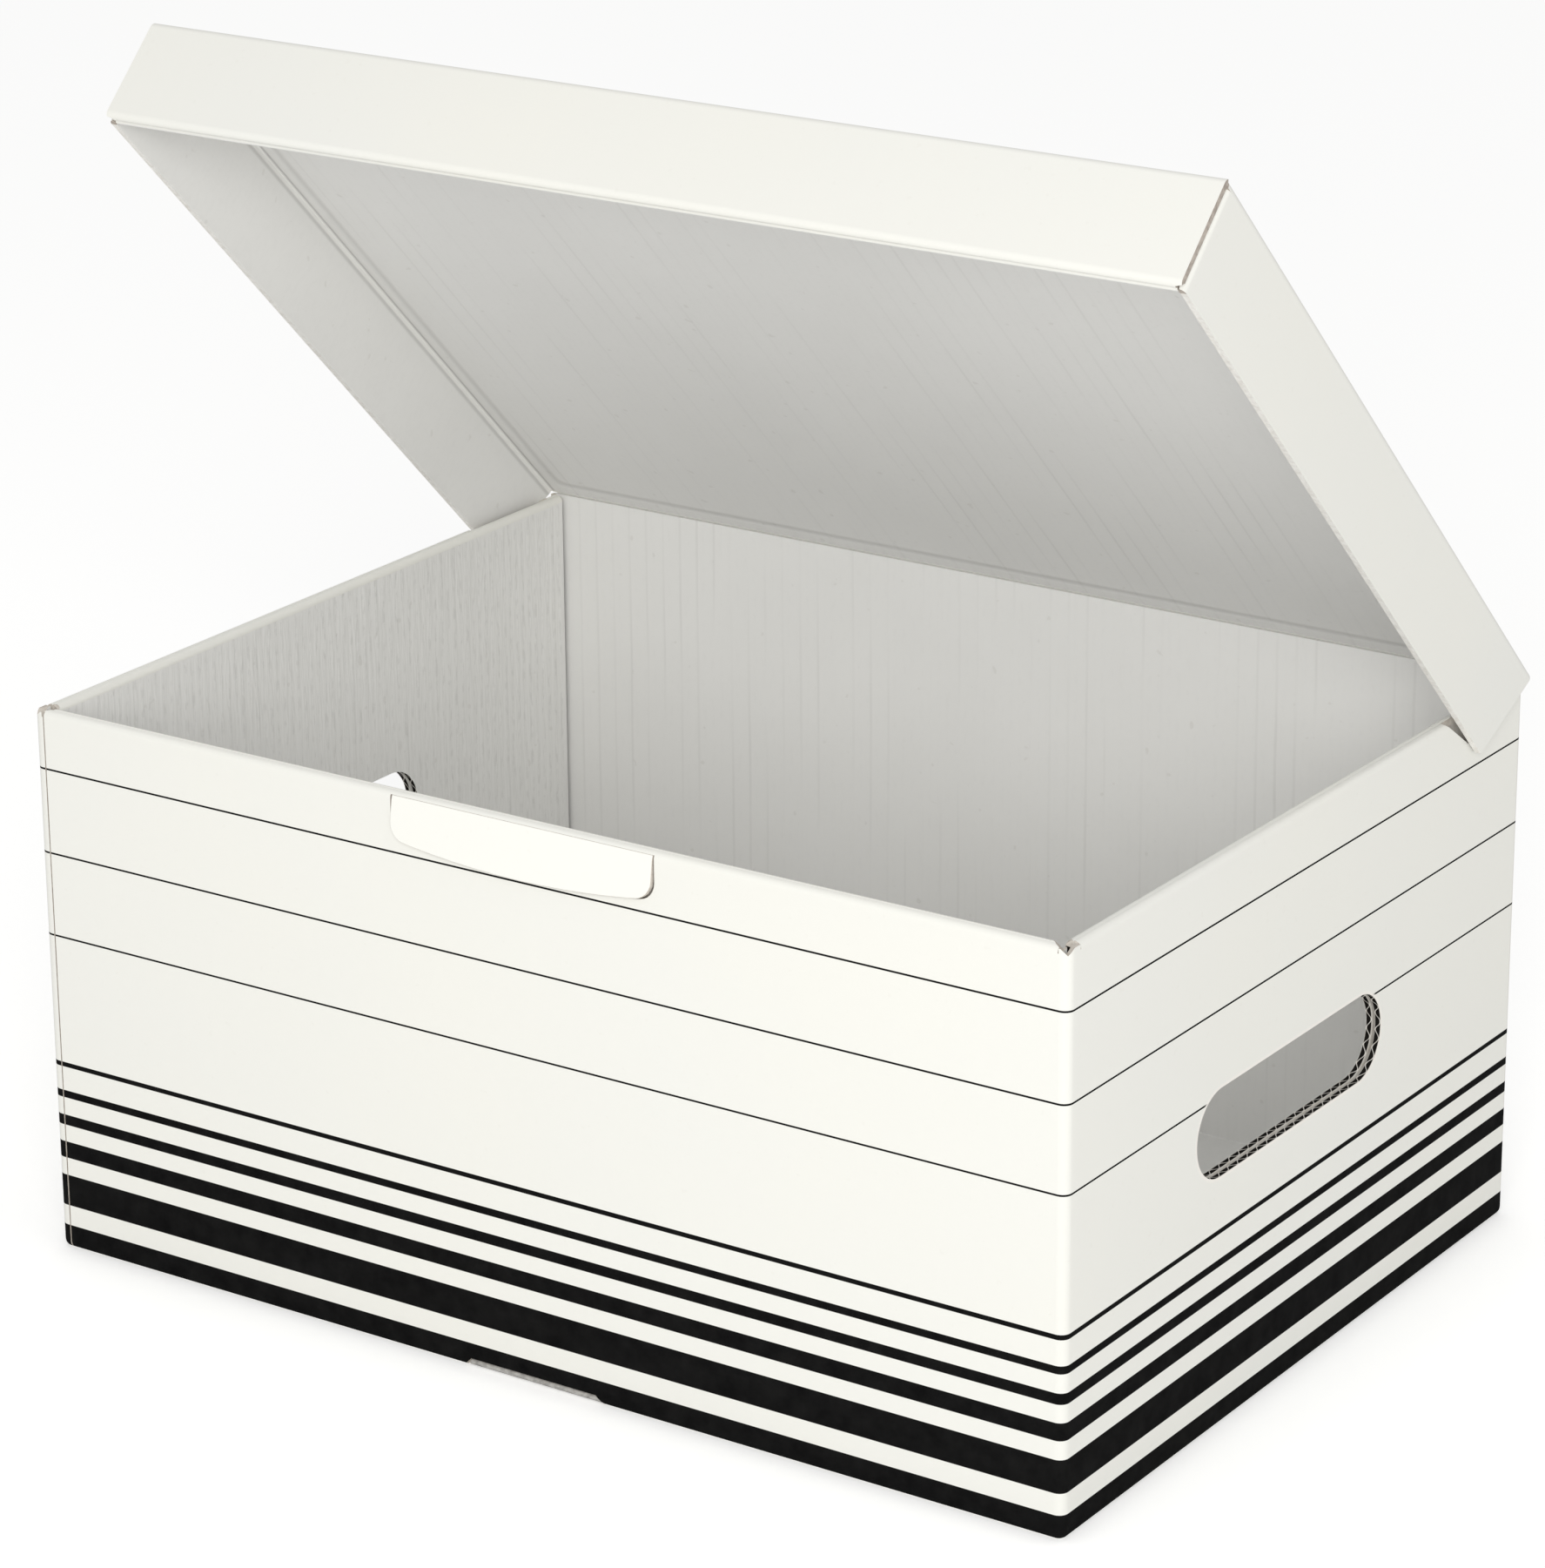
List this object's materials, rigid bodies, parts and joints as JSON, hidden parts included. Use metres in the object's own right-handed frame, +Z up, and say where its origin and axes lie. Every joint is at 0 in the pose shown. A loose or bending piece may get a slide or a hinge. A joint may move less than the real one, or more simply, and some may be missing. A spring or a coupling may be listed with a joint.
{
  "type": "archive storage box",
  "caption": "Striped corrugated board storage box with a fold-back lid, oval hand holes in its sides and a small closing tab at the front.",
  "frame": {"origin": "on the floor under the middle of the box's base", "axes": "+Z up, the front with the closing tab faces -Y, the lid folds on the back wall at +Y, +X to the right seen from the front"},
  "size_m": [0.3754, 0.2745, 0.3786],
  "materials": {
    "board": "matte white-lined board with black printed stripes on the body"
  },
  "bodies": {
    "body": {"box_body": "board"},
    "lid": {"lid": "board"}
  },
  "joints": [
    {"name": "lid_hinge", "type": "hinge", "parent": "body", "child": "lid", "pos_m": [0, 0.135, 0.18135], "axis": [-1, 0, 0], "range_deg": [-45, 135]}
  ]
}
